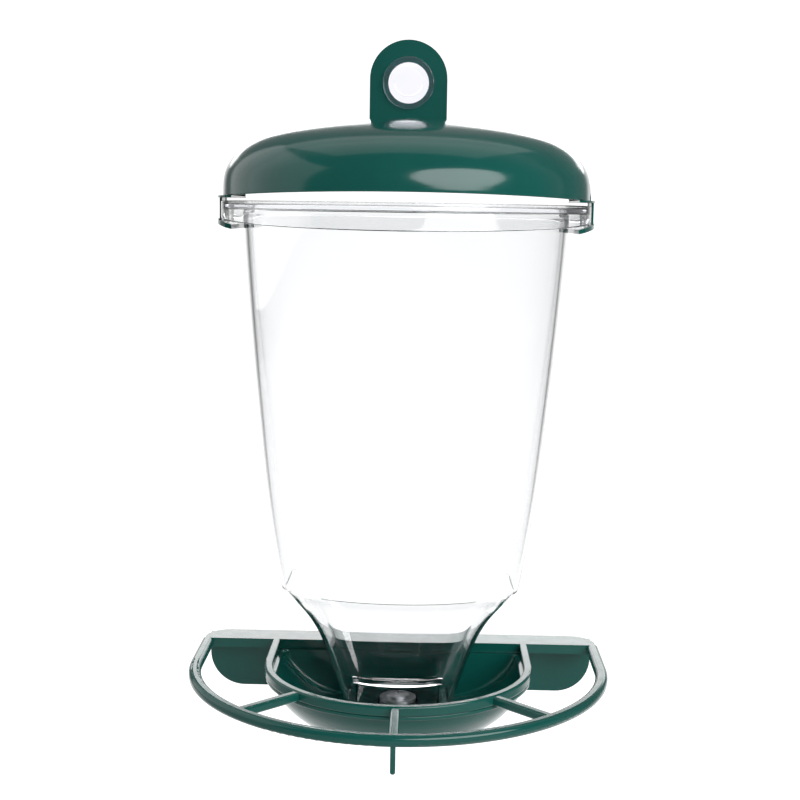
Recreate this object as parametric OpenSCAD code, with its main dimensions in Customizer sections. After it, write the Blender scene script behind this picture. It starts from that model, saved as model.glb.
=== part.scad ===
// Window seed feeder: a clear gravity hopper that hangs from one suction cup.
// The hopper slides out of the lid to be filled, and one screw holds the tray
// under it. The origin is the middle of the suction cup's face on the pane,
// +Z is up, and the pane is the plane Y = 0, with the feeder on its -Y side.

/* [Overall] */
// Height of the suction cup's centre above the top face of the tray
cup_above_tray = 239; // [236:0.5:244]
// Distance from the pane to the rear face of the lid's back plate
plate_gap = 5; // [4:0.5:7]
// General wall thickness of the green mouldings
green_wall = 2; // [1.6:0.1:2.4]
// General wall thickness of the clear hopper
clear_wall = 1.8; // [1.5:0.1:2.2]

/* [Suction cup] */
// Radius of the cup's disc on the pane
cup_r = 15.5; // [12:0.5:16]
// Radius of the round head in front of the tab
head_r = 10.8; // [9.5:0.1:12]
// Thickness of the round head
head_t = 2; // [1.5:0.1:3]
// Radius of the raised button in the middle of the head
button_r = 6; // [4:0.1:7]
// Height of the button above the head
button_h = 1.8; // [0.8:0.1:3]
// Radius of the tab's hole, which the neck turns in
tab_hole_r = 8.5; // [7:0.1:9]

/* [Lid] */
// Half width of the hanging tab
tab_half_w = 16.2; // [14:0.1:18]
// Height of the tab's rounded top above the hole's centre
tab_top = 17.7; // [16:0.1:20]
// Thickness of the back plate
plate_t = 2.5; // [2:0.1:3.5]
// Height of the dome's lower edge above the tray
lid_edge_z = 191; // [188:0.5:194]
// Height of the dome itself
dome_h = 33; // [28:0.5:36]
// Half width of the dome at its lower edge
dome_half_w = 75.4; // [74:0.1:76]
// How far the back plate stands out beyond the dome's sides, near its lower edge
plate_proud = 2; // [1:0.5:3]
// How far the middle of the dome's front edge is arched up
edge_arch = 1.7; // [1:0.1:3]
// Half width of the gap that the hopper's skirt slides through
rail_half_w = 76.6; // [76.5:0.1:78]
// Thickness of each rail's outer web
rail_web = 1; // [0.8:0.1:1.5]
// Thickness of the ledges under the skirt
ledge_t = 1.8; // [1.4:0.1:3]
// Thickness of the lips over the skirt
lip_t = 0.8; // [0.6:0.1:1.6]
// How far each ledge reaches round the front curve, in degrees
ledge_turn = 24; // [16:1:26]

/* [Hopper] */
// Height of the skirt's lower edge above the tray, in the middle of the front
skirt_z = 178.5; // [177:0.5:180]
// How much higher the skirt's lower edge is at the sides
skirt_rise = 4; // [2:0.5:5]
// Height of the flange's underside, between the body and the skirt
flange_z = 186; // [185:0.5:187]
// Thickness of the flange
flange_t = 1.6; // [1.4:0.1:2.4]
// Height of the hopper's top edge above the tray
hopper_top_z = 189; // [188:0.5:190]
// Half width of the skirt
skirt_half_w = 76.2; // [75:0.1:76.2]
// Half width of the hopper body just under the skirt
body_top_half_w = 67; // [64:0.5:68]
// Half width of the hopper body at its lower shoulder
body_low_half_w = 50; // [48:0.5:54]
// Height of the lower shoulder above the tray
shoulder_z = 33; // [30:0.5:36]
// Depth of the floor below the tray's top face
floor_depth = 16; // [14:0.5:17]
// Half width of the feed port
port_half_w = 16.5; // [14:0.5:18]
// Height of the feed port
port_h = 11; // [9:0.5:12]

/* [Tray] */
// Half width of the shelf bar and of its back panel
bar_half_w = 85; // [82:0.5:88]
// Depth of the shelf bar from the pane to its front face
bar_depth = 13.5; // [12:0.5:15]
// Height of the shelf bar's front face
bar_h = 4; // [3:0.5:5]
// Height of the back panel
panel_h = 24.5; // [22:0.5:27]
// Distance from the pane to the centre of the perch and of the bowl
ring_centre = 42; // [38:0.5:44]
// Outer radius of the perch
ring_r = 86.3; // [84:0.1:88]
// Width of the perch's section
ring_w = 5; // [4:0.1:6]
// Height of the perch's section
ring_h = 4.4; // [3.5:0.1:5]
// Inner radius of the band round the bowl's mouth
band_r = 52; // [50:0.5:54]
// Thickness of that band
band_w = 3.4; // [2.8:0.1:4]
// Height of that band
band_h = 4; // [3.6:0.1:6]
// Width of the spokes
spoke_w = 3.8; // [3:0.1:5]
// Angle between neighbouring spokes
spoke_angle = 45; // [40:1:50]
// Depth of the bowl below the tray's top face
bowl_depth = 25; // [25:0.5:30]
// Length of the peg under the front of the perch
peg_len = 10; // [6:0.5:12]

/* [Tray screw] */
// Distance from the pane to the screw's axis
screw_y = 42; // [40:0.5:43]
// Radius of the M5 screw's shank
screw_r = 2.5; // [2.5:0.5:2.5]
// Length of the screw under its head
screw_len = 10; // [10:1:12]
// Radius of the screw's pan head
screw_head_r = 4.75; // [4:0.05:5]
// Radius of the wide washer
washer_r = 7.5; // [7:0.1:8]
// Thickness of the wide washer
washer_t = 1.2; // [1:0.1:1.5]
// Width of the nut across its flats
nut_af = 8; // [8:1:8]
// Thickness of the nut
nut_t = 4; // [3.5:0.1:4.7]

/* [Hidden] */
$fn = 96;

green = [0.06, 0.36, 0.29];
clear = [0.85, 0.92, 0.95, 0.4];
steel = [0.72, 0.73, 0.75];

overlap = 0.02;          // how far a cut runs past the face it opens
running_gap = 0.08;      // radial gap of the turning fits
sliding_gap = 0.3;       // gap round the pieces that slide
tray_z = -cup_above_tray;
plate_rear = -plate_gap;
plate_front = plate_rear - plate_t;
front_steps = 48;        // segments of an outline's front curve
corner_steps = 6;        // segments of an outline's rear corners

// A flat-backed outline: straight sides from the back to "mid", then half an
// ellipse round the front. Y values are given as distances from the pane.
function d_outline(half_w, back, mid, front, corner) = concat(
    [for (i = [0:front_steps]) let (a = 180 + 180 * i / front_steps)
        [half_w * cos(a), -mid + (front - mid) * sin(a)]],
    [for (i = [0:corner_steps]) let (a = 90 * i / corner_steps)
        [half_w - corner + corner * cos(a), -back - corner + corner * sin(a)]],
    [for (i = [0:corner_steps]) let (a = 90 + 90 * i / corner_steps)
        [-half_w + corner + corner * cos(a), -back - corner + corner * sin(a)]]);

// A solid skinned over outlines of equal length, from the lowest to the highest.
module skin_over(heights, outlines) {
    n = len(outlines[0]);
    points = [for (k = [0:len(heights) - 1]) for (p = outlines[k]) [p[0], p[1], heights[k]]];
    sides = [for (k = [0:len(heights) - 2]) for (i = [0:n - 1])
        let (a = k * n + i, b = k * n + (i + 1) % n)
        for (t = [[a, a + n, b + n], [a, b + n, b]]) t];
    bottom = [for (i = [0:n - 1]) i];
    top = [for (i = [n - 1:-1:0]) (len(heights) - 1) * n + i];
    polyhedron(points, concat(sides, [bottom, top]), convexity = 6);
}

// A rectangle with round corners, drawn from exact arcs.
module round_rect(w, h, r) {
    square([w - 2 * r, h], center = true);
    square([w, h - 2 * r], center = true);
    for (x = [-1, 1]) for (y = [-1, 1])
        translate([x * (w / 2 - r), y * (h / 2 - r)]) circle(r);
}

// Turns a profile of radius and height so that its axis lies along Y and its
// height runs from the pane towards the front.
module turned_from_pane() {
    rotate([90, 0, 0]) rotate_extrude() children();
}

/* ---- suction cup ---- */
// Soft clear cup, shown pressed flat on the pane: the disc, the neck through
// the tab and the round head with its button.
module suction_cup() {
    neck_r = tab_hole_r - running_gap;
    head_y = -plate_front + sliding_gap / 3;
    rim_t = 1;
    shoulder_y = plate_gap - sliding_gap / 3;
    shoulder_r = neck_r + 2;
    head_round = 0.6;
    color(clear) turned_from_pane() {
        polygon([[0, 0], [cup_r, 0], [cup_r, rim_t], [shoulder_r + 1, shoulder_y - 1],
                 [shoulder_r, shoulder_y], [0, shoulder_y]]);
        square([neck_r, head_y + head_t / 2]);
        translate([0, head_y]) square([head_r - head_round, head_t]);
        translate([0, head_y + head_round]) square([head_r, head_t - 2 * head_round]);
        for (y = [head_y + head_round, head_y + head_t - head_round])
            translate([head_r - head_round, y]) circle(head_round);
        translate([0, head_y + head_t - overlap]) square([button_r - head_round, button_h + overlap]);
        translate([0, head_y + head_t - overlap]) square([button_r, button_h - head_round + overlap]);
        translate([button_r - head_round, head_y + head_t + button_h - head_round])
            circle(head_round);
    }
}

/* ---- lid ---- */
// Each step of the dome's profile is a share of its height and of its width.
dome_steps = [[0, 1], [0.1, 0.999], [0.2, 0.996], [0.3, 0.987], [0.4, 0.967], [0.5, 0.936],
              [0.6, 0.889], [0.7, 0.815], [0.78, 0.715], [0.85, 0.59], [0.91, 0.455],
              [0.96, 0.29], [0.99, 0.14], [1, 0.06]];
dome_mid = 19;           // distance from the pane to the dome's widest place
dome_front = 99;         // distance from the pane to the front of its edge
dome_back = -plate_front;

// The outline of the dome at one share of its full width.
function dome_outline(share, inset) =
    let (mid = dome_back + (dome_mid - dome_back) * share)
    d_outline(dome_half_w * share - inset, dome_back, mid,
              dome_back + (dome_front - dome_back) * share - inset, min(1, share * 3));

module dome_solid(inset, top_drop) {
    heights = [for (s = dome_steps) s[0] * (dome_h - top_drop)];
    outlines = [for (s = dome_steps) dome_outline(s[1], inset * min(1, s[1] * 2))];
    skin_over(heights, outlines);
}

// The large circle that gives the lower edge its shallow arch, centred below.
// The arch runs out a little inside the dome's sides.
arch_half_w = dome_half_w - 5.3;
arch_r = arch_half_w * arch_half_w / (2 * edge_arch);

module lid_dome() {
    color(green) translate([0, 0, tray_z + lid_edge_z]) difference() {
        dome_solid(0, 0);
        translate([0, 0, -overlap]) dome_solid(green_wall, green_wall);
        translate([0, 0, edge_arch - arch_r]) rotate([90, 0, 0])
            cylinder(r = arch_r, h = dome_front * 2, $fn = 360);
    }
}

rail_outer = rail_half_w + rail_web;
rail_inner = body_top_half_w + 1.4;      // the hopper's body slides between the ledges
ledge_slope = 0.25;                      // drop of a ledge towards the middle, per unit of width
ledge_high = skirt_z + skirt_rise - 2 * sliding_gap;
ledge_low = ledge_high - ledge_t;
lip_low = lid_edge_z - lip_t;

// One side of the back plate: proud of the dome near its lower edge, and a little
// inside its outline above.
function plate_side(sign) =
    [for (i = [1:len(dome_steps) - 1]) let (s = dome_steps[i], ear = max(0, (s[1] - 0.9) / 0.1))
        [sign * (dome_half_w * s[1] + plate_proud * ear), (dome_h - 0.5) * s[0]]];

// The whole plate: the dome's outline above, cut away below between the rails.
module plate_face() {
    leg_w = rail_web + 0.2;
    shoulder_h = 1.5;
    cut_h = 3.5;
    leg_h = lid_edge_z - ledge_low;
    left = plate_side(-1);
    right = plate_side(1);
    polygon(concat([[-rail_outer, -leg_h], [-rail_outer, shoulder_h]], left,
                   [for (i = [len(right) - 1:-1:0]) right[i]],
                   [[rail_outer, shoulder_h], [rail_outer, -leg_h], [rail_outer - leg_w, -leg_h],
                    [rail_outer - leg_w, 0], [rail_inner, 0], [rail_inner, cut_h], [-rail_inner, cut_h],
                    [-rail_inner, 0], [leg_w - rail_outer, 0], [leg_w - rail_outer, -leg_h]]));
}

// Plan of a rail: straight inside, and round the start of the skirt's curve outside.
module rail_plan(side) {
    steps = 10;
    reach = skirt_front - skirt_mid + rail_web;
    curve = [for (i = [0:steps]) let (a = ledge_turn * i / steps)
        [side * rail_outer * cos(a), -skirt_mid - reach * sin(a)]];
    polygon(concat([[side * rail_outer, plate_rear]], curve,
                   [[side * rail_inner, curve[steps][1]], [side * rail_inner, plate_rear]]));
}

// A ledge seen from the front, running along Y.
module ledge_section(side) {
    fall = ledge_slope * (rail_outer - rail_inner + 1);
    rotate([90, 0, 0]) linear_extrude(100)
        polygon([[side * rail_outer, ledge_high], [side * rail_outer, ledge_low],
                 [side * (rail_inner - 1), ledge_low - fall], [side * (rail_inner - 1), ledge_high - fall]]);
}

module lid_back_plate() {
    tab_base = lid_edge_z + dome_h - cup_above_tray - 4;
    tab_round_z = tab_top - tab_half_w;
    color(green) {
        difference() {
            union() {
                translate([0, plate_rear, tray_z + lid_edge_z]) rotate([90, 0, 0])
                    linear_extrude(plate_t) plate_face();
                translate([0, plate_rear, 0]) rotate([90, 0, 0]) linear_extrude(plate_t) {
                    translate([-tab_half_w, tab_base]) square([2 * tab_half_w, tab_round_z - tab_base]);
                    translate([0, tab_round_z]) circle(tab_half_w);
                }
            }
            rotate([90, 0, 0]) cylinder(r = tab_hole_r, h = 20);
        }
        for (side = [-1, 1]) {
            // Upper lip, outer web along the straight part, and lower ledge
            translate([0, 0, tray_z + lip_low])
                linear_extrude(lid_edge_z - lip_low) rail_plan(side);
            translate([side * (rail_half_w + rail_web / 2), (plate_rear - skirt_mid) / 2,
                       tray_z + (ledge_low + lid_edge_z) / 2])
                cube([rail_web, skirt_mid + plate_rear, lid_edge_z - ledge_low], center = true);
            intersection() {
                translate([0, 0, tray_z + ledge_low - 10]) linear_extrude(30) rail_plan(side);
                translate([0, 0, tray_z]) ledge_section(side);
            }
        }
    }
}

/* ---- hopper ---- */
skirt_mid = 19;          // distance from the pane to the skirt's widest place
skirt_front = 97;        // distance from the pane to the skirt's front
hopper_back = 9;         // distance from the pane to the hopper's flat back
body_top_front = 86;     // front of the body just under the skirt
body_low_front = 67;     // front of the body at the lower shoulder
floor_t = 2;             // thickness of the hopper's floor
neck_mid = 40;           // distance from the pane to the neck's widest place
neck_front = 59;         // front of the neck at the feed port

// Body sections from the floor up: height above the tray, half width,
// back, widest place, front and rear corner radius, as distances from the pane.
body_sections = [
    [-floor_depth - floor_t, 22.4, 20, neck_mid, neck_front - 1, 9],
    [-5.5, 26.5, 17.5, neck_mid, neck_front, 10],
    [3.5, 29.7, 15.8, neck_mid, neck_front + 0.6, 10],
    [12, 33.2, 13.8, neck_mid, neck_front + 1.2, 10],
    [19, 37.6, 11.6, neck_mid, neck_front + 1.9, 9],
    [26, 44.2, 9.6, 39, neck_front + 3.2, 8],
    [shoulder_z - 2, body_low_half_w - 0.8, hopper_back, 38, body_low_front - 0.7, 7],
    [shoulder_z + 2, body_low_half_w, hopper_back, 38, body_low_front, 7],
    [60, body_low_half_w + 4.3, hopper_back, 36, body_low_front + 4, 8],
    [85, body_low_half_w + 7.6, hopper_back, 33, body_low_front + 7, 8],
    [skirt_z, body_top_half_w, hopper_back, skirt_mid, body_top_front, 9],
    [flange_z + flange_t + 0.5, body_top_half_w + 0.4, hopper_back, skirt_mid, body_top_front + 0.6, 9]];

module body_solid(inset) {
    skin_over([for (s = body_sections) s[0]],
              [for (s = body_sections)
                  d_outline(s[1] - inset, s[2] + inset, s[3], s[4] - inset, s[5] - inset)]);
}

// The skirt's side walls end higher than its front, along half an ellipse.
module above_skirt_edge() {
    steps = 72;
    polygon(concat([[-2 * skirt_half_w, skirt_rise], [-skirt_half_w, skirt_rise]],
                   [for (i = [1:steps - 1]) let (a = 180 + 180 * i / steps)
                       [skirt_half_w * cos(a), skirt_rise + skirt_rise * sin(a)]],
                   [[skirt_half_w, skirt_rise], [2 * skirt_half_w, skirt_rise],
                    [2 * skirt_half_w, 40], [-2 * skirt_half_w, 40]]));
}

// Outline of the skirt in plan, drawn in by "inset".
module skirt_plan(inset) {
    polygon(d_outline(skirt_half_w - inset, hopper_back - 1 + inset / 4, skirt_mid,
                      skirt_front - inset, 6));
}

module hopper() {
    lip_h = 2.6;
    lip_out = 1.4;
    color(clear) translate([0, 0, tray_z]) difference() {
        union() {
            body_solid(0);
            // Flange out to the skirt, and the skirt itself
            translate([0, 0, flange_z]) linear_extrude(flange_t) skirt_plan(clear_wall / 2);
            intersection() {
                translate([0, 0, skirt_z]) linear_extrude(hopper_top_z - skirt_z) difference() {
                    skirt_plan(0);
                    skirt_plan(clear_wall);
                }
                translate([0, 0, skirt_z]) rotate([90, 0, 0]) linear_extrude(150) above_skirt_edge();
            }
            // Lip over the feed port
            intersection() {
                translate([0, 0, port_h - floor_depth]) linear_extrude(lip_h)
                    polygon(d_outline(25.5 + lip_out, 17.5, neck_mid, neck_front - 0.4 + lip_out, 9));
                translate([-port_half_w - 2, -neck_front - lip_out - 2, -floor_depth])
                    cube([2 * port_half_w + 4, 20, port_h + lip_h + 2]);
            }
        }
        // The hollow, above the floor and out through the top
        intersection() {
            translate([0, 0, overlap]) body_solid(clear_wall);
            translate([-100, -150, -floor_depth]) cube([200, 200, 250]);
        }
        translate([0, 0, flange_z + flange_t]) linear_extrude(10) skirt_plan(clear_wall);
        translate([-100, -150, hopper_top_z - overlap]) cube([200, 200, 10]);
        // Feed port
        translate([-port_half_w, -80, -floor_depth]) cube([2 * port_half_w, 30, port_h]);
        // Hole for the screw
        translate([0, -screw_y, -floor_depth - floor_t - 1]) cylinder(r = screw_r + 0.3, h = floor_t + 2);
    }
}

/* ---- tray screw, washer and nut ---- */
head_low = -floor_depth + washer_t;

module screw_washer() {
    color(steel) translate([0, -screw_y, tray_z - floor_depth]) difference() {
        cylinder(r = washer_r, h = washer_t);
        translate([0, 0, -1]) cylinder(r = screw_r + 0.15, h = washer_t + 2);
    }
}

// Pan head screw with a cross recess.
module tray_screw() {
    head_h = 1.9;
    edge_h = 0.8;
    crown_r = 12;
    recess_w = 1;
    recess_l = 4.4;
    recess_d = 1.5;
    color(steel) translate([0, -screw_y, tray_z + head_low + running_gap]) difference() {
        union() {
            rotate_extrude() {
                square([screw_head_r, edge_h]);
                intersection() {
                    translate([0, head_h - crown_r]) circle(crown_r);
                    translate([0, edge_h - overlap]) square([screw_head_r - 0.3, head_h]);
                }
            }
            translate([0, 0, -screw_len + 0.5]) cylinder(r = screw_r, h = screw_len);
            translate([0, 0, -screw_len]) cylinder(r1 = screw_r - 0.5, r2 = screw_r, h = 0.5);
        }
        for (turn = [0, 90]) rotate(turn)
            translate([-recess_l / 2, -recess_w / 2, head_h - recess_d])
                cube([recess_l, recess_w, recess_d + 1]);
    }
}

boss_top = -floor_depth - floor_t;   // the hopper's floor rests on the bowl's boss
boss_cap = 2.5;                      // solid part of the boss above the nut

module tray_nut() {
    color(steel) translate([0, -screw_y, tray_z + boss_top - boss_cap - nut_t - running_gap])
        difference() {
            cylinder(r = nut_af / 2 / cos(30), h = nut_t, $fn = 6);
            translate([0, 0, -1]) cylinder(r = screw_r + 0.05, h = nut_t + 2);
        }
}

/* ---- seed bowl ---- */
bowl_back = bar_depth;    // the bowl's flat back stands against the bar's front
bowl_rim_r = band_r + band_w - 0.4;   // the rim glued under the band, just inside its edge

// Shares of the bowl's depth and of its rim radius, from the bottom up.
bowl_steps = [[1, 0.46], [0.985, 0.54], [0.93, 0.63], [0.83, 0.725], [0.7, 0.805],
              [0.54, 0.875], [0.38, 0.925], [0.22, 0.955]];

module bowl_solid(inset) {
    r = band_r + band_w;
    heights = concat([for (s = bowl_steps) -bowl_depth * s[0] + inset], [-band_h]);
    radii = concat([for (s = bowl_steps) r * s[1] - inset], [r * 0.97 - inset]);
    skin_over(heights, [for (k = radii)
        d_outline(k, bowl_back + inset, ring_centre, ring_centre + k, 3)]);
}

// Straight-sided plan shape round the bowl's centre, back to the bar.
module u_plan(r) {
    translate([0, -ring_centre]) circle(r);
    translate([-r, -ring_centre]) square([2 * r, ring_centre - bar_depth]);
}

module seed_bowl() {
    boss_r = 8.5;
    rim_t = 1.6;
    pocket_r = (nut_af + 0.3) / 2 / cos(30);
    color(green) translate([0, 0, tray_z]) difference() {
        union() {
            difference() {
                union() {
                    bowl_solid(0);
                    translate([0, 0, -band_h - rim_t]) linear_extrude(rim_t) intersection() {
                        u_plan(bowl_rim_r);
                        translate([-100, -150]) square([200, 150 - bowl_back]);
                    }
                }
                translate([0, 0, overlap]) bowl_solid(green_wall);
                translate([0, 0, -band_h - overlap]) linear_extrude(5) u_plan(100);
            }
            translate([0, -screw_y, -bowl_depth]) cylinder(r = boss_r, h = boss_top + bowl_depth);
        }
        // Screw hole and the hexagonal pocket that holds the nut from below
        translate([0, -screw_y, -bowl_depth - 1]) cylinder(r = screw_r + 0.3, h = bowl_depth);
        translate([0, -screw_y, -bowl_depth - 1])
            cylinder(r = pocket_r, h = bowl_depth + 1 + boss_top - boss_cap, $fn = 6);
    }
}

/* ---- perch frame ---- */
// A bar of the given section bent round the bowl's centre and run back to the bar.
module u_bar(r_outer, w, h, r_edge) {
    mid_r = r_outer - w / 2;
    translate([0, -ring_centre, -h / 2]) {
        rotate([0, 0, 180]) rotate_extrude(angle = 180)
            translate([mid_r, 0]) round_rect(w, h, r_edge);
        for (side = [-1, 1])
            translate([side * mid_r, 0, 0]) rotate([-90, 0, 0])
                linear_extrude(ring_centre - bar_depth + 1) round_rect(w, h, r_edge);
    }
}

// Plan of the shelf bar: square front corners, round rear corners.
module bar_plan(corner) {
    translate([-bar_half_w, -bar_depth]) square([2 * bar_half_w, bar_depth - corner]);
    translate([-bar_half_w + corner, -bar_depth]) square([2 * (bar_half_w - corner), bar_depth]);
    for (side = [-1, 1]) intersection() {
        translate([side * (bar_half_w - corner), -corner]) circle(corner);
        translate([-bar_half_w - 1, -corner - 1]) square([2 * bar_half_w + 2, corner + 2]);
    }
}

// Face of the back panel, from its lower edge up into the shelf bar, with
// round lower corners.
module panel_face() {
    corner = 15;
    half_w = bar_half_w - 1;
    top = panel_h - 1;
    intersection() {
        translate([-half_w, 0]) square([2 * half_w, top]);
        union() {
            translate([-half_w, corner]) square([2 * half_w, top]);
            translate([corner - half_w, 0]) square([2 * (half_w - corner), top]);
            for (side = [-1, 1]) translate([side * (half_w - corner), corner]) circle(corner);
        }
    }
}

module perch_frame() {
    bar_corner = 11;
    panel_t = 2.4;
    spoke_h = 3.6;
    peg_w = 1.9;
    peg_deep = 3.6;
    color(green) translate([0, 0, tray_z]) {
        // Shelf bar with a downturned front, on its back panel
        difference() {
            translate([0, 0, -bar_h]) linear_extrude(bar_h) bar_plan(bar_corner);
            translate([-bar_half_w + bar_corner, -bar_depth + 2, -bar_h - 1])
                cube([2 * (bar_half_w - bar_corner), bar_depth - 2 - panel_t, bar_h - 1]);
        }
        translate([0, 0, -panel_h]) rotate([90, 0, 0]) linear_extrude(panel_t) panel_face();
        u_bar(ring_r, ring_w, ring_h, 1.8);
        u_bar(band_r + band_w, band_w, band_h, 0.8);
        // Spokes
        for (turn = [-spoke_angle, 0, spoke_angle])
            translate([0, -ring_centre, -spoke_h / 2 - 0.4]) rotate(turn) rotate([90, 0, 0])
                translate([0, 0, band_r + 1]) linear_extrude(ring_r - ring_w - band_r + 1)
                    round_rect(spoke_w, spoke_h, 1);
        // Peg under the middle of the front
        translate([0, -ring_centre - ring_r + ring_w / 2, 0]) {
            translate([-peg_w / 2, -peg_deep / 2, -ring_h - peg_len + peg_w / 2])
                cube([peg_w, peg_deep, peg_len + 1 - peg_w / 2]);
            translate([0, peg_deep / 2, -ring_h - peg_len + peg_w / 2]) rotate([90, 0, 0])
                cylinder(d = peg_w, h = peg_deep);
        }
    }
}

suction_cup();
lid_dome();
lid_back_plate();
hopper();
screw_washer();
tray_screw();
tray_nut();
seed_bowl();
perch_frame();
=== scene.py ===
"""Looks of the window seed feeder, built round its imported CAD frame.

Lengths named here are in millimetres and repeat the CAD source's own dimensions.
"""

import math

import bmesh
import bpy
import numpy as np
from mathutils import Matrix, Vector


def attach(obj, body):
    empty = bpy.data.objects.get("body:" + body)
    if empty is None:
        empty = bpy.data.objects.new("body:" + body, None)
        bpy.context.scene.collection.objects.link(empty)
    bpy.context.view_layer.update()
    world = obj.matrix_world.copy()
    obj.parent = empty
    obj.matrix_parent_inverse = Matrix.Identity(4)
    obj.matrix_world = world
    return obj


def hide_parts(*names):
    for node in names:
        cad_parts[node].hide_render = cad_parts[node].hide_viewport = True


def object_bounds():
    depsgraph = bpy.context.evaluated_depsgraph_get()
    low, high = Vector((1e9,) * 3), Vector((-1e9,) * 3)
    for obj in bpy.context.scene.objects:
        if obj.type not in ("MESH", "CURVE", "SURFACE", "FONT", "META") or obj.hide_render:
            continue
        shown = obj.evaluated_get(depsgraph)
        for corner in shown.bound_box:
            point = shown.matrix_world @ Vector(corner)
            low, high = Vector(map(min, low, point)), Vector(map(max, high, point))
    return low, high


MM = 0.001

# Heights are above the tray's top face, which is this far below the suction cup.
CUP_ABOVE_TRAY = 239.0

CLEAR_WALL = 1.8
GREEN_WALL = 2.0

# Lid
LID_EDGE_Z = 191.0
DOME_H = 33.0
DOME_HALF_W = 75.4
DOME_BACK = 7.5
DOME_MID = 19.0
DOME_FRONT = 99.0
EDGE_ARCH = 1.7
ARCH_HALF_W = DOME_HALF_W - 5.3
DOME_STEPS = [
    (0, 1), (0.1, 0.999), (0.2, 0.996), (0.3, 0.987), (0.4, 0.967), (0.5, 0.936), (0.6, 0.889),
    (0.7, 0.815), (0.78, 0.715), (0.85, 0.59), (0.91, 0.455), (0.96, 0.29), (0.99, 0.14), (1, 0.06),
]

# Hopper
SKIRT_Z = 178.5
SKIRT_RISE = 4.0
SKIRT_HALF_W = 76.2
SKIRT_MID = 19.0
SKIRT_FRONT = 97.0
HOPPER_TOP_Z = 189.0
HOPPER_BACK = 9.0
FLANGE_Z = 186.0
FLANGE_T = 1.6
FLOOR_DEPTH = 16.0
FLOOR_T = 2.0
SHOULDER_Z = 33.0
LOW_HALF_W = 50.0
LOW_FRONT = 67.0
TOP_HALF_W = 67.0
TOP_FRONT = 86.0
NECK_MID = 40.0
NECK_FRONT = 59.0
PORT_HALF_W = 16.5
PORT_H = 11.0
LIP_H = 2.6
LIP_OUT = 1.4

# Sections of the hopper's body: height, half width, back, widest place, front, corner.
BODY_SECTIONS = [
    (-FLOOR_DEPTH - FLOOR_T, 22.4, 20, NECK_MID, NECK_FRONT - 1, 9),
    (-5.5, 26.5, 17.5, NECK_MID, NECK_FRONT, 10),
    (3.5, 29.7, 15.8, NECK_MID, NECK_FRONT + 0.6, 10),
    (12, 33.2, 13.8, NECK_MID, NECK_FRONT + 1.2, 10),
    (19, 37.6, 11.6, NECK_MID, NECK_FRONT + 1.9, 9),
    (26, 44.2, 9.6, 39, NECK_FRONT + 3.2, 8),
    (SHOULDER_Z - 2, LOW_HALF_W - 0.8, HOPPER_BACK, 38, LOW_FRONT - 0.7, 7),
    (SHOULDER_Z + 2, LOW_HALF_W, HOPPER_BACK, 38, LOW_FRONT, 7),
    (60, LOW_HALF_W + 4.3, HOPPER_BACK, 36, LOW_FRONT + 4, 8),
    (85, LOW_HALF_W + 7.6, HOPPER_BACK, 33, LOW_FRONT + 7, 8),
    (SKIRT_Z, TOP_HALF_W, HOPPER_BACK, SKIRT_MID, TOP_FRONT, 9),
    (FLANGE_Z + FLANGE_T, TOP_HALF_W + 0.4, HOPPER_BACK, SKIRT_MID, TOP_FRONT + 0.6, 9),
]

SHOULDER_ROW = 6

# Tray
BAR_DEPTH = 13.5
RING_CENTRE = 42.0
BAND_R = 52.0
BAND_W = 3.4
BAND_H = 4.0
BOWL_DEPTH = 25.0
BOWL_RIM_T = 1.6
BOWL_STEPS = [
    (1, 0.46), (0.985, 0.54), (0.93, 0.63), (0.83, 0.725), (0.7, 0.805), (0.54, 0.875),
    (0.38, 0.925), (0.22, 0.955),
]
SCREW_Y = 42.0
SCREW_R = 2.5
BOSS_R = 8.5
NUT_AF = 8.0
NUT_BOSS_CAP = 2.5

# The stage, in metres: how strongly the backdrop glows, behind the feeder and
# elsewhere, and between which widths for each metre of distance the glow fades.
GLOW = 0.92
GLOW_ELSEWHERE = 0.08
GLOW_FADE = (0.29, 0.44)
FLOOR_DROP = 0.12

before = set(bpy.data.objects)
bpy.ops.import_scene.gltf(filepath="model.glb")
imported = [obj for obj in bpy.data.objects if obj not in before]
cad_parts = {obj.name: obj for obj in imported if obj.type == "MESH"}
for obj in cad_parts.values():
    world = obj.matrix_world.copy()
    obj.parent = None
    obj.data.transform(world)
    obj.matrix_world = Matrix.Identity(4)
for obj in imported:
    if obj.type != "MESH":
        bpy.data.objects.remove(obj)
cad_low, cad_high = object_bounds()


# ---------------------------------------------------------------- outlines and lofts


def d_outline(half_w, back, mid, front, corner, front_n=120, side_n=8, corner_n=10, back_n=24):
    """Points (x, y) of a flat-backed outline: half an ellipse in front, straight behind."""
    points = []
    for i in range(front_n + 1):
        a = math.pi + math.pi * i / front_n
        points.append((half_w * math.cos(a), -mid + (front - mid) * math.sin(a)))
    for i in range(1, side_n):
        points.append((half_w, -mid + (mid - back - corner) * i / side_n))
    for i in range(corner_n + 1):
        a = math.pi / 2 * i / corner_n
        points.append((half_w - corner + corner * math.cos(a), -back - corner + corner * math.sin(a)))
    for i in range(1, back_n):
        points.append(((half_w - corner) * (1 - 2 * i / back_n), -back))
    for i in range(corner_n + 1):
        a = math.pi / 2 + math.pi / 2 * i / corner_n
        points.append((corner - half_w + corner * math.cos(a), -back - corner + corner * math.sin(a)))
    for i in range(1, side_n):
        points.append((-half_w, -back - corner - (mid - back - corner) * i / side_n))
    return np.array(points)


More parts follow.
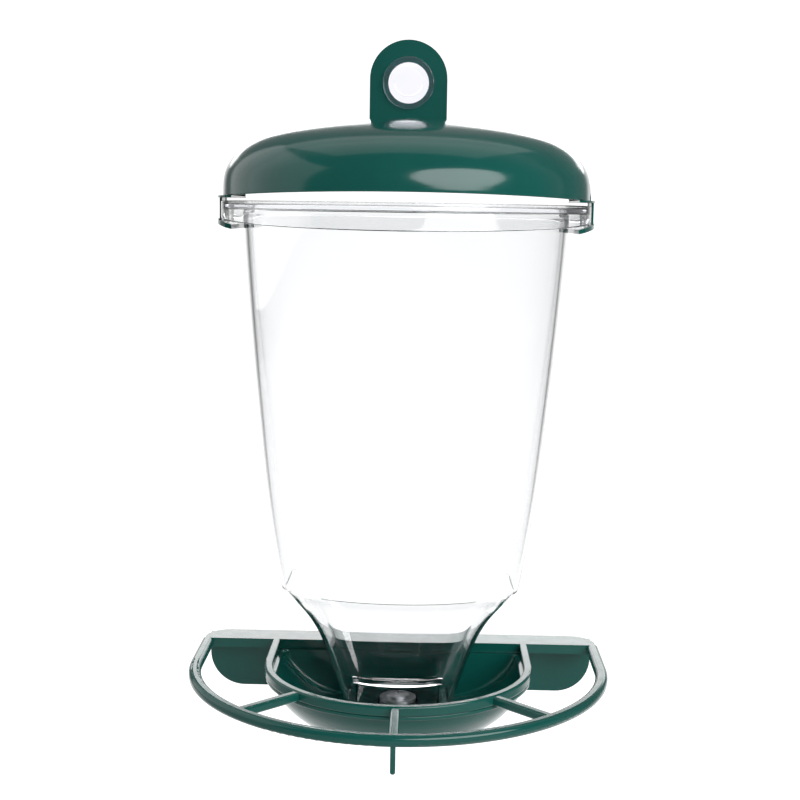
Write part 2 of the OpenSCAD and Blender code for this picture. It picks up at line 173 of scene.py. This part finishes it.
def smooth_rows(rows, count):
    """Rows of numbers, run through smoothly without overshoot and resampled by length."""
    rows = np.array(rows, float)
    steps = np.linalg.norm(np.diff(rows[:, :2], axis=0), axis=1)
    t = np.concatenate([[0], np.cumsum(steps)])
    slope = np.diff(rows, axis=0) / steps[:, None]
    tangent = np.zeros_like(rows)
    tangent[0], tangent[-1] = slope[0], slope[-1]
    a, b = slope[:-1], slope[1:]
    same = a * b > 0
    tangent[1:-1] = np.where(same, 2 * a * b / np.where(same, a + b, 1), 0)
    at = np.linspace(0, t[-1], count)
    k = np.clip(np.searchsorted(t, at, side="right") - 1, 0, len(t) - 2)
    h = (t[k + 1] - t[k])[:, None]
    s = ((at - t[k]) / h[:, 0])[:, None]
    return (
        rows[k] * (2 * s**3 - 3 * s**2 + 1)
        + tangent[k] * h * (s**3 - 2 * s**2 + s)
        + rows[k + 1] * (3 * s**2 - 2 * s**3)
        + tangent[k + 1] * h * (s**3 - s**2)
    )


def u_outline(half_w, back, mid, front, front_n=120, side_n=6):
    """Points (x, y) of the same outline without its back: an open curve, left to right."""
    side = [-back - (mid - back) * i / side_n for i in range(side_n)]
    left = [(-half_w, y) for y in side]
    arc = [
        (-half_w * math.cos(math.pi * i / front_n), -mid - (front - mid) * math.sin(math.pi * i / front_n))
        for i in range(front_n + 1)
    ]
    right = [(half_w, y) for y in side[::-1]]
    return np.array(left + arc + right)


def new_piece(name, bm):
    """An object made from the mesh, with points that coincide made one."""
    bmesh.ops.remove_doubles(bm, verts=bm.verts, dist=0.002 * MM)
    bmesh.ops.recalc_face_normals(bm, faces=bm.faces)
    mesh = bpy.data.meshes.new(name)
    bm.to_mesh(mesh)
    bm.free()
    piece = bpy.data.objects.new(name, mesh)
    bpy.context.scene.collection.objects.link(piece)
    return piece


def add_ring(bm, ring):
    """Mesh points for a ring of (x, y, z), given in mm with z above the tray."""
    return [bm.verts.new((p[0] * MM, p[1] * MM, (p[2] - CUP_ABOVE_TRAY) * MM)) for p in ring]


def add_fan(bm, ring):
    middle = bm.verts.new(sum((v.co for v in ring), Vector()) / len(ring))
    for a, b in zip(ring, ring[1:] + ring[:1]):
        bm.faces.new((a, b, middle))


def loft(name, rings):
    """A closed mesh over rings of points (x, y, z), capped at both ends."""
    bm = bmesh.new()
    made = [add_ring(bm, ring) for ring in rings]
    for low, high in zip(made[:-1], made[1:]):
        for i in range(len(low)):
            j = (i + 1) % len(low)
            bm.faces.new((low[i], low[j], high[j], high[i]))
    add_fan(bm, made[0])
    add_fan(bm, made[-1])
    return new_piece(name, bm)


def loft_open_back(name, rings):
    """A shell over open curves: down its outside, then up its inside with as many again."""
    bm = bmesh.new()
    made = [add_ring(bm, ring) for ring in rings]
    for low, high in zip(made[:-1], made[1:]):
        for i in range(len(low) - 1):
            bm.faces.new((low[i], low[i + 1], high[i + 1], high[i]))
    # The shell's own thickness at its two rear edges, and over its top
    last = len(made) - 1
    for end in (0, -1):
        for k in range((last - 1) // 2):
            bm.faces.new((made[k][end], made[k + 1][end], made[last - k - 1][end], made[last - k][end]))
    if last % 2 == 0:
        for end in (0, -1):
            k = last // 2
            bm.faces.new((made[k - 1][end], made[k][end], made[k + 1][end]))
    bm.faces.new((made[0][0], made[0][-1], made[-1][-1], made[-1][0]))
    add_fan(bm, made[0])
    add_fan(bm, made[-1])
    return new_piece(name, bm)


def with_height(outline, z):
    """The outline's points at one height, or at a height for each point."""
    return np.column_stack([outline, np.broadcast_to(z, len(outline))])


def rounded(rings, radius, sharp=32):
    """The rings again, with each sharp turn from ring to ring made round."""
    result = [rings[0]]
    for before, ring, after in zip(rings[:-2], rings[1:-1], rings[2:]):
        back, on = before - ring, after - ring
        back_l = np.maximum(np.linalg.norm(back, axis=1), 1e-9)[:, None]
        on_l = np.maximum(np.linalg.norm(on, axis=1), 1e-9)[:, None]
        straight = np.sum(-back * on, axis=1) / (back_l * on_l)[:, 0]
        if np.median(straight) > math.cos(math.radians(sharp)):
            result.append(ring)
            continue
        start = ring + back / back_l * np.minimum(radius, back_l * 0.45)
        end = ring + on / on_l * np.minimum(radius, on_l * 0.45)
        for t in (0, 0.2, 0.4, 0.6, 0.8, 1):
            result.append((1 - t) ** 2 * start + 2 * t * (1 - t) * ring + t**2 * end)
    return result + [rings[-1]]


def apply_modifiers(piece):
    """The piece's mesh is exchanged for what its modifiers make of it."""
    graph = bpy.context.evaluated_depsgraph_get()
    mesh = bpy.data.meshes.new_from_object(piece.evaluated_get(graph))
    piece.modifiers.clear()
    piece.data = mesh


def boolean(piece, other, operation):
    """Joins the other solid to the piece, or cuts it out, and removes the other solid."""
    change = piece.modifiers.new("change", "BOOLEAN")
    change.operation = operation
    change.object = other
    change.solver = "MANIFOLD"
    apply_modifiers(piece)
    bpy.data.objects.remove(other)


def shade_smooth(piece, angle=32):
    """Smooth shading that keeps the edges sharper than the angle."""
    for polygon in piece.data.polygons:
        polygon.use_smooth = True
    piece.data.set_sharp_from_angle(angle=math.radians(angle))


def prism(name, outline, z0, z1):
    """A solid of one plan outline between two heights."""
    return loft(name, [with_height(np.array(outline), z0), with_height(np.array(outline), z1)])


def rectangle(x0, x1, y0, y1):
    return [(x0, y0), (x1, y0), (x1, y1), (x0, y1)]


def circle(radius, y, n=64):
    return [
        (radius * math.cos(2 * math.pi * i / n), y + radius * math.sin(2 * math.pi * i / n))
        for i in range(n)
    ]


# ---------------------------------------------------------------- lid dome


def arch_height(x):
    """Height of the dome's lower edge at x, above the lid's edge plane."""
    radius = ARCH_HALF_W**2 / (2 * EDGE_ARCH)
    return np.maximum(0, EDGE_ARCH - radius + np.sqrt(radius**2 - np.asarray(x) ** 2))


def dome_ring(height, share, inset, rise):
    """One curve of the dome, raised near its lower edge by the edge's arch."""
    thin = inset * min(1, share * 2)
    outline = u_outline(
        DOME_HALF_W * share - thin,
        DOME_BACK,
        DOME_BACK + (DOME_MID - DOME_BACK) * share,
        DOME_BACK + (DOME_FRONT - DOME_BACK) * share - thin,
    )
    z = height * (DOME_H - inset) / DOME_H
    lift = arch_height(outline[:, 0]) * max(0, 1 - height / rise)
    return with_height(outline, LID_EDGE_Z + z + lift)


def make_lid_dome():
    rows = smooth_rows([(h * DOME_H, s * DOME_HALF_W) for h, s in DOME_STEPS], 56)
    rows[:, 1] /= DOME_HALF_W
    # Down the outside, across the lower edge and up the inside
    rings = [dome_ring(h, s, 0, 8) for h, s in rows[::-1]]
    rings += [dome_ring(h, s, GREEN_WALL, 8) for h, s in rows]
    piece = loft_open_back("lid_dome_shell", rounded(rings, 0.5))
    shade_smooth(piece)
    return piece


# ---------------------------------------------------------------- hopper


def body_ring(section, inset):
    height, half_w, back, mid, front, corner = section
    outline = d_outline(half_w - inset, back + inset, mid, front - inset, max(1, corner - inset))
    return with_height(outline, height)


def skirt_outline(inset):
    return d_outline(SKIRT_HALF_W - inset, HOPPER_BACK - 1 + inset / 4, SKIRT_MID, SKIRT_FRONT - inset, 6)


def skirt_low(outline):
    """Height of the skirt's lower edge at each of its points, along half an ellipse."""
    share = np.minimum(1, np.abs(outline[:, 0]) / SKIRT_HALF_W)
    return SKIRT_Z + SKIRT_RISE * (1 - np.sqrt(1 - share**2))


def make_hopper():
    # The funnel and the body are each smooth, and meet in a crisp shoulder
    funnel = smooth_rows(BODY_SECTIONS[:SHOULDER_ROW + 1], 60)
    body = smooth_rows(BODY_SECTIONS[SHOULDER_ROW:], 90)
    sections = np.concatenate([funnel, body[1:]])
    outside = sections[sections[:, 0] < FLANGE_Z]
    inside = sections[sections[:, 0] > -FLOOR_DEPTH]
    rings = [body_ring(s, 0) for s in outside]
    # Under the flange, down inside the skirt, round its edge, up to the top and in to the body
    inner, outer = skirt_outline(CLEAR_WALL), skirt_outline(0)
    last = np.array(sections[-1])
    last[0] = FLANGE_Z
    rings.append(body_ring(last, 0))
    rings.append(with_height(inner, FLANGE_Z))
    rings.append(with_height(inner, skirt_low(inner)))
    rings.append(with_height(outer, skirt_low(outer)))
    rings.append(with_height(outer, HOPPER_TOP_Z))
    rings.append(with_height(inner, HOPPER_TOP_Z))
    rings.append(with_height(inner, FLANGE_Z + FLANGE_T))
    # Down the inside to the floor
    rings += [body_ring(s, CLEAR_WALL) for s in inside[::-1]]
    floor = np.array(sections[0])
    floor[0] = -FLOOR_DEPTH
    rings.append(body_ring(floor, CLEAR_WALL))
    piece = loft("hopper_shell", rounded(rings, 0.6))
    low, high = -FLOOR_DEPTH, PORT_H - FLOOR_DEPTH
    neck_half_w, neck_back = 25.5, 17.5
    lip_plan = d_outline(neck_half_w + LIP_OUT, neck_back, NECK_MID, NECK_FRONT - 0.4 + LIP_OUT, 9)
    lip_plan = [p for p in lip_plan if abs(p[0]) <= PORT_HALF_W + 2 and p[1] < -NECK_MID]
    lip_plan += [(PORT_HALF_W + 2, -NECK_FRONT + 3.4), (-PORT_HALF_W - 2, -NECK_FRONT + 3.4)]
    boolean(piece, prism("lip", lip_plan, high, high + LIP_H), "UNION")
    through_front = (-80, -50)
    port = prism("port", rectangle(-PORT_HALF_W, PORT_HALF_W, *through_front), low, high)
    boolean(piece, port, "DIFFERENCE")
    hole = prism("hole", circle(SCREW_R + 0.3, -SCREW_Y), low - FLOOR_T - 1, low + 1)
    boolean(piece, hole, "DIFFERENCE")
    shade_smooth(piece, 30)
    return piece


# ---------------------------------------------------------------- seed bowl


def bowl_ring(height, radius, inset):
    r = radius - inset
    return with_height(d_outline(r, BAR_DEPTH + inset, RING_CENTRE, RING_CENTRE + r, 3), height)


def make_bowl():
    r = BAND_R + BAND_W
    rows = [(-BOWL_DEPTH * h, r * s) for h, s in BOWL_STEPS] + [(-BAND_H, r * 0.97)]
    rows = smooth_rows(rows, 40)
    outer = [bowl_ring(h, k, 0) for h, k in rows if h < -BAND_H - BOWL_RIM_T]
    rim = r - 0.4
    outer.append(bowl_ring(-BAND_H - BOWL_RIM_T, r * 0.965, 0))
    outer.append(bowl_ring(-BAND_H - BOWL_RIM_T, rim, 0))
    outer.append(bowl_ring(-BAND_H, rim, 0))
    inner = [bowl_ring(h + GREEN_WALL, k, GREEN_WALL) for h, k in rows[::-1] if h + GREEN_WALL < -BAND_H]
    inner.insert(0, bowl_ring(-BAND_H, r * 0.97, GREEN_WALL))
    piece = loft("seed_bowl_shell", rounded(outer + inner, 0.5))
    top = -FLOOR_DEPTH - FLOOR_T
    boolean(piece, prism("boss", circle(BOSS_R, -SCREW_Y), 1 - BOWL_DEPTH, top), "UNION")
    drill = prism("drill", circle(SCREW_R + 0.3, -SCREW_Y), -BOWL_DEPTH - 1, top + 1)
    boolean(piece, drill, "DIFFERENCE")
    across = (NUT_AF + 0.3) / 2 / math.cos(math.pi / 6)
    pocket = prism("pocket", circle(across, -SCREW_Y, 6), -BOWL_DEPTH - 1, top - NUT_BOSS_CAP)
    boolean(piece, pocket, "DIFFERENCE")
    shade_smooth(piece, 30)
    return piece


# ---------------------------------------------------------------- materials


class Nodes:
    """A material with a Principled shader, and short calls that add nodes to it."""

    def __init__(self, name):
        self.material = bpy.data.materials.new(name)
        self.material.use_nodes = True
        self.tree = self.material.node_tree
        self.shader = self.tree.nodes["Principled BSDF"]
        self.place = self.tree.nodes.new("ShaderNodeTexCoord").outputs["Object"]

    def set(self, **values):
        for name, value in values.items():
            self.shader.inputs[name.replace("_", " ")].default_value = value

    def noise(self, scale, detail=3.0, stretch=(1, 1, 1)):
        mapping = self.tree.nodes.new("ShaderNodeMapping")
        mapping.inputs["Scale"].default_value = stretch
        self.tree.links.new(self.place, mapping.inputs["Vector"])
        node = self.tree.nodes.new("ShaderNodeTexNoise")
        node.inputs["Scale"].default_value = scale
        node.inputs["Detail"].default_value = detail
        self.tree.links.new(mapping.outputs["Vector"], node.inputs["Vector"])
        return node.outputs["Fac"]

    def ramp(self, factor, stops):
        node = self.tree.nodes.new("ShaderNodeValToRGB")
        for element, (place, colour) in zip(node.color_ramp.elements, stops):
            element.position = place
            element.color = (*colour, 1) if len(colour) == 3 else colour
        self.tree.links.new(factor, node.inputs["Fac"])
        return node.outputs["Color"]

    def spread(self, factor, low, high):
        node = self.tree.nodes.new("ShaderNodeMapRange")
        node.inputs["To Min"].default_value = low
        node.inputs["To Max"].default_value = high
        self.tree.links.new(factor, node.inputs["Value"])
        return node.outputs["Result"]

    def math(self, operation, first, second):
        """A maths node; the second value may be a number or another node's output."""
        node = self.tree.nodes.new("ShaderNodeMath")
        node.operation = operation
        self.tree.links.new(first, node.inputs[0])
        if isinstance(second, (int, float)):
            node.inputs[1].default_value = second
        else:
            self.tree.links.new(second, node.inputs[1])
        return node.outputs["Value"]

    def fade(self, value, start, end):
        node = self.tree.nodes.new("ShaderNodeMapRange")
        node.inputs["From Min"].default_value = start
        node.inputs["From Max"].default_value = end
        self.tree.links.new(value, node.inputs["Value"])
        return node.outputs["Result"]

    def glow(self):
        """Strong behind the feeder, in an area that widens away from it, and weak elsewhere."""
        axes = self.tree.nodes.new("ShaderNodeSeparateXYZ")
        self.tree.links.new(self.place, axes.inputs["Vector"])
        x, y, z = axes.outputs["X"], axes.outputs["Y"], axes.outputs["Z"]
        narrowest = 0.8
        aside = self.math("DIVIDE", x, self.math("ADD", y, narrowest))
        share = self.math("MULTIPLY", self.fade(y, -0.25, 0.1), self.fade(z, 0.62, 0.46))
        for side in (-1, 1):
            edge = self.fade(aside, side * GLOW_FADE[1], side * GLOW_FADE[0])
            share = self.math("MULTIPLY", share, edge)
        return self.spread(share, GLOW_ELSEWHERE, GLOW)

    def drive(self, socket, value):
        self.tree.links.new(value, self.shader.inputs[socket])

    def bump(self, height, strength, distance):
        node = self.tree.nodes.new("ShaderNodeBump")
        node.inputs["Strength"].default_value = strength
        node.inputs["Distance"].default_value = distance
        self.tree.links.new(height, node.inputs["Height"])
        self.drive("Normal", node.outputs["Normal"])

    def absorb(self, colour, density):
        """The inside of the piece takes light away along each ray's path."""
        node = self.tree.nodes.new("ShaderNodeVolumeAbsorption")
        node.inputs["Color"].default_value = colour
        node.inputs["Density"].default_value = density
        output = self.tree.nodes["Material Output"]
        self.tree.links.new(node.outputs["Volume"], output.inputs["Volume"])


def green_plastic():
    m = Nodes("green_plastic")
    m.set(IOR=1.5, Specular_IOR_Level=0.5)
    streaks = m.noise(28, 4, (1, 1, 0.35))
    m.drive("Base Color", m.ramp(streaks, [(0.3, (0.004, 0.08, 0.066)), (0.75, (0.006, 0.098, 0.082))]))
    m.drive("Roughness", m.spread(m.noise(180, 4), 0.09, 0.19))
    m.bump(m.noise(420, 2), 0.05, 0.0002)
    return m.material


def clear_plastic():
    m = Nodes("clear_plastic")
    m.set(IOR=1.5, Transmission_Weight=1.0)
    m.drive("Base Color", m.ramp(m.noise(30, 2), [(0.3, (0.985, 0.992, 0.995)), (0.8, (1, 1, 1))]))
    m.drive("Roughness", m.spread(m.noise(220, 3), 0.0, 0.03))
    m.bump(m.noise(34, 2, (1, 1, 0.3)), 0.05, 0.0004)
    m.absorb((0.86, 0.88, 0.95, 1), 24)
    return m.material


def soft_clear():
    m = Nodes("soft_clear")
    m.set(IOR=1.5, Transmission_Weight=0.93, Alpha=0.4)
    m.drive("Base Color", m.ramp(m.noise(60, 3), [(0.3, (0.7, 0.7, 0.84)), (0.8, (0.78, 0.77, 0.9))]))
    m.drive("Roughness", m.spread(m.noise(300, 3), 0.04, 0.14))
    m.bump(m.noise(260, 2), 0.1, 0.0003)
    return m.material


def zinc_steel():
    m = Nodes("zinc_steel")
    m.set(Metallic=1.0)
    m.drive("Base Color", m.ramp(m.noise(500, 4), [(0.3, (0.42, 0.44, 0.46)), (0.75, (0.62, 0.63, 0.65))]))
    m.drive("Roughness", m.spread(m.noise(900, 4), 0.32, 0.5))
    m.bump(m.noise(1500, 3), 0.12, 0.0001)
    return m.material


def paint(piece, material):
    piece.data.materials.clear()
    piece.data.materials.append(material)


# ---------------------------------------------------------------- the pieces

GREEN, CLEAR, SOFT, STEEL = green_plastic(), clear_plastic(), soft_clear(), zinc_steel()

for builder, node, body, material, slot in (
    (make_lid_dome, "lid_dome", "lid", GREEN, "green_plastic"),
    (make_hopper, "hopper", "hopper", CLEAR, "clear_plastic"),
    (make_bowl, "seed_bowl", "tray", GREEN, "green_plastic"),
):
    shell = builder()
    paint(shell, material)
    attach(shell, body)
    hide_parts(node)

CAD_LOOKS = {
    "suction_cup": SOFT,
    "lid_back_plate": GREEN,
    "perch_frame": GREEN,
    "screw_washer": STEEL,
    "tray_screw": STEEL,
    "tray_nut": STEEL,
}
for node, material in CAD_LOOKS.items():
    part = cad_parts[node]
    for slot in part.material_slots:
        slot.material = material


# ---------------------------------------------------------------- studio


def studio_floor():
    """A wide pale floor below the hanging feeder, which curves up into a backdrop far behind it and glows
    there with painted light.
    """
    z = cad_low.z - FLOOR_DROP
    far, bend, top, half = 1.6, 1.2, 5.0, 6.0
    profile = [(-4.0, z)] + [
        (far + bend * math.sin(math.pi / 2 * k / 16), z + bend * (1 - math.cos(math.pi / 2 * k / 16)))
        for k in range(17)
    ]
    profile.append((far + bend, z + top))
    bm = bmesh.new()
    rows = [[bm.verts.new((x, y, h)) for x in (-half, half)] for y, h in profile]
    for a, b in zip(rows[:-1], rows[1:]):
        bm.faces.new((a[0], a[1], b[1], b[0]))
    mesh = bpy.data.meshes.new("studio_floor")
    bm.to_mesh(mesh)
    bm.free()
    for polygon in mesh.polygons:
        polygon.use_smooth = True
    floor = bpy.data.objects.new("studio_floor", mesh)
    bpy.context.scene.collection.objects.link(floor)
    m = Nodes("pale_glowing_floor")
    m.set(Roughness=0.9, Emission_Color=(1, 1, 1, 1))
    # Painted light: the floor's emission glows strongly behind the feeder and weakly elsewhere.
    m.drive("Emission Strength", m.glow())
    m.drive("Base Color", m.ramp(m.noise(3, 2), [(0.3, (0.49, 0.49, 0.49)), (0.7, (0.51, 0.51, 0.51))]))
    paint(floor, m.material)


def studio_world():
    """Pale behind the feeder and dark towards the side that the camera stands on."""
    world = bpy.data.worlds.new("studio")
    bpy.context.scene.world = world
    world.use_nodes = True
    tree = world.node_tree
    background = tree.nodes["Background"]
    place = tree.nodes.new("ShaderNodeTexCoord").outputs["Generated"]
    axes = tree.nodes.new("ShaderNodeSeparateXYZ")
    tree.links.new(place, axes.inputs["Vector"])
    ramp = tree.nodes.new("ShaderNodeValToRGB")
    spread = tree.nodes.new("ShaderNodeMapRange")
    spread.inputs["From Min"].default_value = -1
    tree.links.new(axes.outputs["Y"], spread.inputs["Value"])
    tree.links.new(spread.outputs["Result"], ramp.inputs["Fac"])
    stops = ramp.color_ramp.elements
    stops[0].position, stops[0].color = 0.5, (0.12, 0.12, 0.12, 1)
    stops[1].position, stops[1].color = 0.95, (0.6, 0.6, 0.6, 1)
    tree.links.new(ramp.outputs["Color"], background.inputs["Color"])
    background.inputs["Strength"].default_value = 1.0


def softbox(name, place, target, width, height, radiance, shape="RECTANGLE"):
    """A flat light of the given radiance, turned towards the target."""
    data = bpy.data.lights.new(name, "AREA")
    data.shape = shape
    data.size = width
    data.size_y = height
    area = width * height * (math.pi / 4 if shape == "ELLIPSE" else 1)
    data.energy = radiance * math.pi * area
    light = bpy.data.objects.new(name, data)
    light.location = place
    direction = Vector(target) - Vector(place)
    light.rotation_euler = direction.to_track_quat("-Z", "Y").to_euler()
    bpy.context.scene.collection.objects.link(light)


def studio_camera():
    """The photograph's viewpoint: a little right of the middle, looking slightly down."""
    yaw, pitch, roll = -0.0187, 0.1308, 0.0153
    ahead = Vector((math.sin(yaw) * math.cos(pitch), math.cos(yaw) * math.cos(pitch), -math.sin(pitch)))
    right = Vector((math.cos(yaw), -math.sin(yaw), 0))
    up = right.cross(ahead)
    turned_right = math.cos(roll) * right + math.sin(roll) * up
    turned_up = -math.sin(roll) * right + math.cos(roll) * up
    data = bpy.data.cameras.new("camera")
    data.lens = 64.73
    data.sensor_width = 36
    data.clip_start = 0.01
    camera = bpy.data.objects.new("camera", data)
    matrix = Matrix((turned_right, turned_up, -ahead)).transposed().to_4x4()
    matrix.translation = (0.00988, -0.62087, (185.96 - CUP_ABOVE_TRAY) * MM)
    camera.matrix_world = matrix
    bpy.context.scene.collection.objects.link(camera)
    bpy.context.scene.camera = camera


bpy.context.scene.view_settings.view_transform = "Standard"
studio_floor()
studio_world()
studio_camera()
softbox("key_box", (0.62, -0.92, 0.42), (0, -0.05, -0.05), 1.3, 0.9, 5, "ELLIPSE")
softbox("top_box", (0, 0.45, 1.25), (0, -0.05, -0.1), 1.6, 1.2, 0.55)
softbox("left_box", (-1.35, 0.25, 0.45), (0, -0.05, -0.05), 2.3, 1.6, 0.75)
softbox("back_box", (0, 2.5, 0.54), (0, 0, 0.4), 2.6, 0.3, 3)
